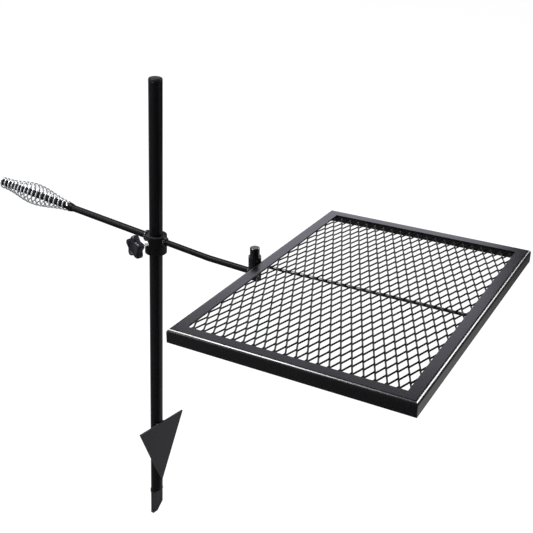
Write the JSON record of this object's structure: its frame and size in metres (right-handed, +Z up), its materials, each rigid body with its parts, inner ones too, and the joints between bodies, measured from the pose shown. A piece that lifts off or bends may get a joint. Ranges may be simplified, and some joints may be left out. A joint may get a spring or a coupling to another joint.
{
  "type": "swing arm campfire grill",
  "caption": "Ground stake with a clamping collar and an arm that swings a framed expanded-metal cooking grate over a fire, moved by a coiled spring handle.",
  "frame": {"origin": "on the stake's axis at the ground line, level with the top edge of the anchor fin", "axes": "+Z up along the stake, +X along the arm from the stake to the grate's pivot"},
  "size_m": [0.8781, 0.5, 0.838],
  "materials": {
    "black_coat": "black powder coat",
    "mesh_coat": "black coat on expanded steel",
    "weld_bead": "coated weld",
    "black_plastic": "moulded",
    "bush_plastic": "moulded",
    "knob_plastic": "moulded",
    "zinc_bolt": "zinc plated",
    "spring_chrome": "bright nickel plate"
  },
  "bodies": {
    "stake": {"stake_tube": "black_coat", "stake_cap": "black_plastic", "anchor_fin": "black_coat", "fin_welds": "weld_bead"},
    "bush": {"collar_bush": "bush_plastic"},
    "arm": {"collar_sleeve": "black_coat", "handle_bar": "black_coat", "grate_bar": "black_coat", "collar_welds": "weld_bead", "handle_stop": "black_coat", "spring_handle": "spring_chrome", "pivot_pin": "black_coat", "pin_weld": "weld_bead"},
    "bolt": {"clamp_bolt": "zinc_bolt"},
    "knob": {"star_knob": "knob_plastic", "knob_insert": "zinc_bolt"},
    "grate": {"rail_arm_side": "black_coat", "rail_fire_side": "black_coat", "rail_left": "black_coat", "rail_right": "black_coat", "corner_welds": "weld_bead", "mesh": "mesh_coat", "support_rod": "black_coat", "rod_welds": "weld_bead", "pivot_socket": "black_coat", "socket_welds": "weld_bead"}
  },
  "joints": [
    {"name": "collar_slide", "type": "slide", "parent": "stake", "child": "bush", "axis": [0, 0, 1], "range_m": [-0.26, 0.23]},
    {"name": "arm_swing", "type": "hinge", "parent": "bush", "child": "arm", "pos_m": [0, 0, 0.337], "axis": [0, 0, 1], "continuous": true},
    {"name": "grate_swivel", "type": "hinge", "parent": "arm", "child": "grate", "pos_m": [0.187, 0, 0.35379], "axis": [-0.0523, 0, 0.9986], "range_deg": [-60, 60]},
    {"name": "bolt_travel", "type": "slide", "parent": "arm", "child": "bolt", "axis": [-0.319, -0.9478, 0], "range_m": [0, 0.0038]},
    {"name": "knob_turn", "type": "hinge", "parent": "bolt", "child": "knob", "pos_m": [0, 0, 0.357], "axis": [-0.319, -0.9478, 0], "range_deg": [0, 1080]}
  ],
  "couplings": [
    {"joint": "bolt_travel", "follows": "knob_turn", "m_per_rad": 0.00019894}
  ]
}
